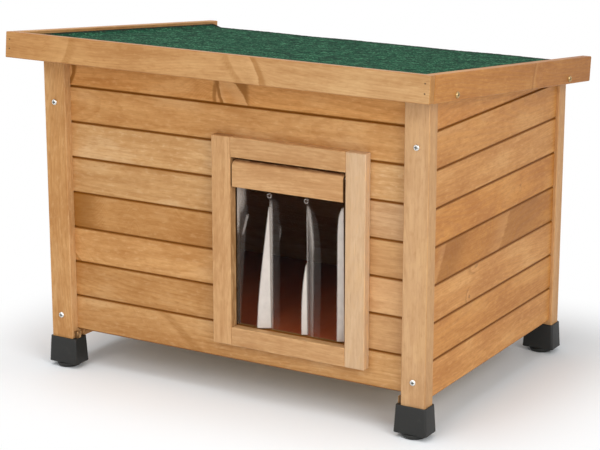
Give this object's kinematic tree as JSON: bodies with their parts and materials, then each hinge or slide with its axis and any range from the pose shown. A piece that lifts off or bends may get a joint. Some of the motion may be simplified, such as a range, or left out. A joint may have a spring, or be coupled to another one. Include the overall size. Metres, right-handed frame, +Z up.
{
  "type": "cat house",
  "caption": "Raised wooden cat house of V-jointed planks on capped legs, with a hinged pent felt roof and a pivoting clear strip flap in a framed doorway.",
  "frame": {"origin": "on the ground under the middle of the roof: centre of the bounding box's underside", "axes": "+X to the right along the front, seen from the door side; +Y from the door to the rear; +Z up"},
  "size_m": [0.5744, 0.4498, 0.4299],
  "materials": {
    "glazed_fir": "honey glaze, satin",
    "panel_wood": "glazed panel",
    "mineral_felt": "green mineral chips",
    "black_plastic": "fine grain",
    "zinc_steel": "zinc plated",
    "clear_pvc": "clear film"
  },
  "bodies": {
    "cabin": {"batten_front_left": "glazed_fir", "batten_front_right": "glazed_fir", "batten_rear_left": "glazed_fir", "batten_rear_right": "glazed_fir", "cap_front_left": "black_plastic", "cap_front_right": "black_plastic", "cap_rear_left": "black_plastic", "cap_rear_right": "black_plastic", "door_bottom_rail": "glazed_fir", "door_head_rail": "glazed_fir", "door_stile_left": "glazed_fir", "door_stile_right": "glazed_fir", "flap_pins": "zinc_steel", "floor_batten_front": "glazed_fir", "floor_batten_rear": "glazed_fir", "floor_panel": "panel_wood", "front_plank_1": "glazed_fir", "front_plank_2_left": "glazed_fir", "front_plank_2_right": "glazed_fir", "front_plank_3_left": "glazed_fir", "front_plank_3_right": "glazed_fir", "front_plank_4_left": "glazed_fir", "front_plank_4_right": "glazed_fir", "front_plank_5_left": "glazed_fir", "front_plank_5_right": "glazed_fir", "front_plank_6": "glazed_fir", "front_plank_7": "glazed_fir", "front_plank_8": "glazed_fir", "hinge_leaves_fixed": "zinc_steel", "hinge_pins": "zinc_steel", "hinge_screws_fixed": "zinc_steel", "left_wall_planks": "glazed_fir", "post_front_left": "glazed_fir", "post_front_right": "glazed_fir", "post_rear_left": "glazed_fir", "post_rear_right": "glazed_fir", "post_screws": "zinc_steel", "rear_wall_planks": "glazed_fir", "right_wall_planks": "glazed_fir"},
    "roof": {"board_screws": "zinc_steel", "hinge_leaves_lid": "zinc_steel", "hinge_screws_lid": "zinc_steel", "roof_batten_front": "glazed_fir", "roof_batten_rear": "glazed_fir", "roof_board_left": "glazed_fir", "roof_board_right": "glazed_fir", "roof_deck": "panel_wood", "roof_fascia": "glazed_fir", "roof_felt": "mineral_felt"},
    "flap": {"flap_bar": "glazed_fir", "flap_screws": "zinc_steel", "flap_sheet_head": "clear_pvc"},
    "strip_left": {"flap_strip_left": "clear_pvc"},
    "strip_middle": {"flap_strip_middle": "clear_pvc"},
    "strip_right": {"flap_strip_right": "clear_pvc"},
    "foot_front_left": {"foot_front_left": "black_plastic"},
    "foot_front_right": {"foot_front_right": "black_plastic"},
    "foot_rear_left": {"foot_rear_left": "black_plastic"},
    "foot_rear_right": {"foot_rear_right": "black_plastic"}
  },
  "joints": [
    {"name": "roof_hinge", "type": "hinge", "parent": "cabin", "child": "roof", "pos_m": [0, 0.2014, 0.36401], "axis": [-1, 0, 0], "range_deg": [0, 100]},
    {"name": "flap_swing", "type": "hinge", "parent": "cabin", "child": "flap", "pos_m": [0.082, -0.1725, 0.292], "axis": [1, 0, 0], "range_deg": [-75, 75]},
    {"name": "strip_left_swing", "type": "hinge", "parent": "flap", "child": "strip_left", "pos_m": [0.082, -0.16575, 0.2575], "axis": [1, 0, 0], "range_deg": [-45, 45]},
    {"name": "strip_middle_swing", "type": "hinge", "parent": "flap", "child": "strip_middle", "pos_m": [0.082, -0.16575, 0.2575], "axis": [1, 0, 0], "range_deg": [-45, 45]},
    {"name": "strip_right_swing", "type": "hinge", "parent": "flap", "child": "strip_right", "pos_m": [0.082, -0.16575, 0.2575], "axis": [1, 0, 0], "range_deg": [-45, 45]},
    {"name": "foot_front_left_height", "type": "slide", "parent": "cabin", "child": "foot_front_left", "axis": [0, 0, -1], "range_m": [0, 0.01]},
    {"name": "foot_front_right_height", "type": "slide", "parent": "cabin", "child": "foot_front_right", "axis": [0, 0, -1], "range_m": [0, 0.01]},
    {"name": "foot_rear_left_height", "type": "slide", "parent": "cabin", "child": "foot_rear_left", "axis": [0, 0, -1], "range_m": [0, 0.01]},
    {"name": "foot_rear_right_height", "type": "slide", "parent": "cabin", "child": "foot_rear_right", "axis": [0, 0, -1], "range_m": [0, 0.01]}
  ]
}
